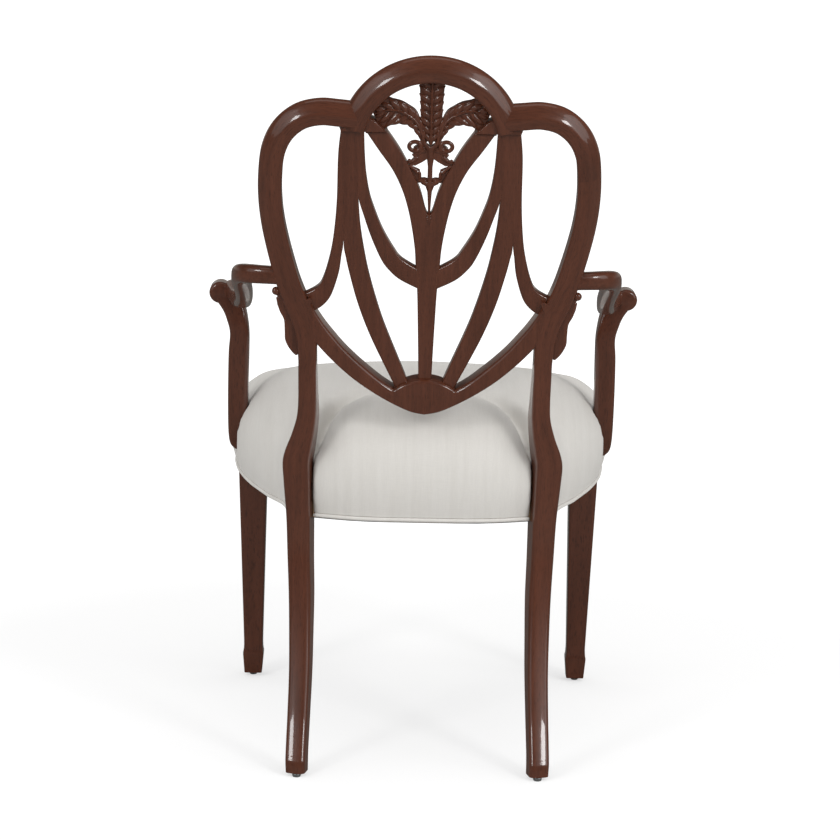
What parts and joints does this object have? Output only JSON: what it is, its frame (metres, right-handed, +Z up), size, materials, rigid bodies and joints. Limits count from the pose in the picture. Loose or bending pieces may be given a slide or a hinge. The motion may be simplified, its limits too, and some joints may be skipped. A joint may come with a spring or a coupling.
{
  "type": "shield back armchair",
  "caption": "Carved mahogany dining armchair with a pierced heart-shaped shield back, plumed crest, serpentine arms and an over-upholstered seat.",
  "frame": {"origin": "on the floor, under the middle of the chair's bounding box", "axes": "+Z up, +X to the sitter's left, -Y the way the sitter faces"},
  "size_m": [0.6258, 0.6174, 0.9947],
  "materials": {
    "mahogany": "dark mahogany, semi-gloss lacquer",
    "beech": "bare beech, planed",
    "seat_cloth": "off-white sateen",
    "foam": "seat foam",
    "jute": "woven jute",
    "cambric": "black cambric",
    "steel": "zinc-plated steel"
  },
  "bodies": {
    "root": {"arm_dowel_left": "beech", "arm_dowel_right": "beech", "arm_left": "mahogany", "arm_right": "mahogany", "arm_support_left": "mahogany", "arm_support_right": "mahogany", "centre_splat": "mahogany", "crest_rail": "mahogany", "dust_cover": "cambric", "front_block_screw_left": "steel", "front_block_screw_right": "steel", "front_corner_block_left": "beech", "front_corner_block_right": "beech", "front_glide_left": "steel", "front_glide_right": "steel", "front_leg_left": "mahogany", "front_leg_right": "mahogany", "front_rail": "beech", "husk_drop": "mahogany", "inner_swag_left": "mahogany", "inner_swag_right": "mahogany", "leaf_bracket_left": "mahogany", "leaf_bracket_right": "mahogany", "long_rib_left": "mahogany", "long_rib_right": "mahogany", "outer_swag_left": "mahogany", "outer_swag_right": "mahogany", "plume_centre": "mahogany", "plume_left": "mahogany", "plume_right": "mahogany", "rear_block_screw_left": "steel", "rear_block_screw_right": "steel", "rear_corner_block_left": "beech", "rear_corner_block_right": "beech", "rear_glide_left": "steel", "rear_glide_right": "steel", "rear_rail": "beech", "rear_stile_left": "mahogany", "rear_stile_right": "mahogany", "ribbon_bow": "mahogany", "seat_cover": "seat_cloth", "seat_foam": "foam", "shield_base": "mahogany", "side_rail_left": "beech", "side_rail_right": "beech", "support_screw_left": "steel", "support_screw_right": "steel", "webbing_cross_a": "jute", "webbing_cross_b": "jute", "webbing_cross_c": "jute", "webbing_cross_d": "jute", "webbing_long_a": "jute", "webbing_long_b": "jute", "webbing_long_c": "jute", "webbing_long_d": "jute", "welt_front": "seat_cloth", "welt_rear": "seat_cloth"}
  },
  "joints": []
}
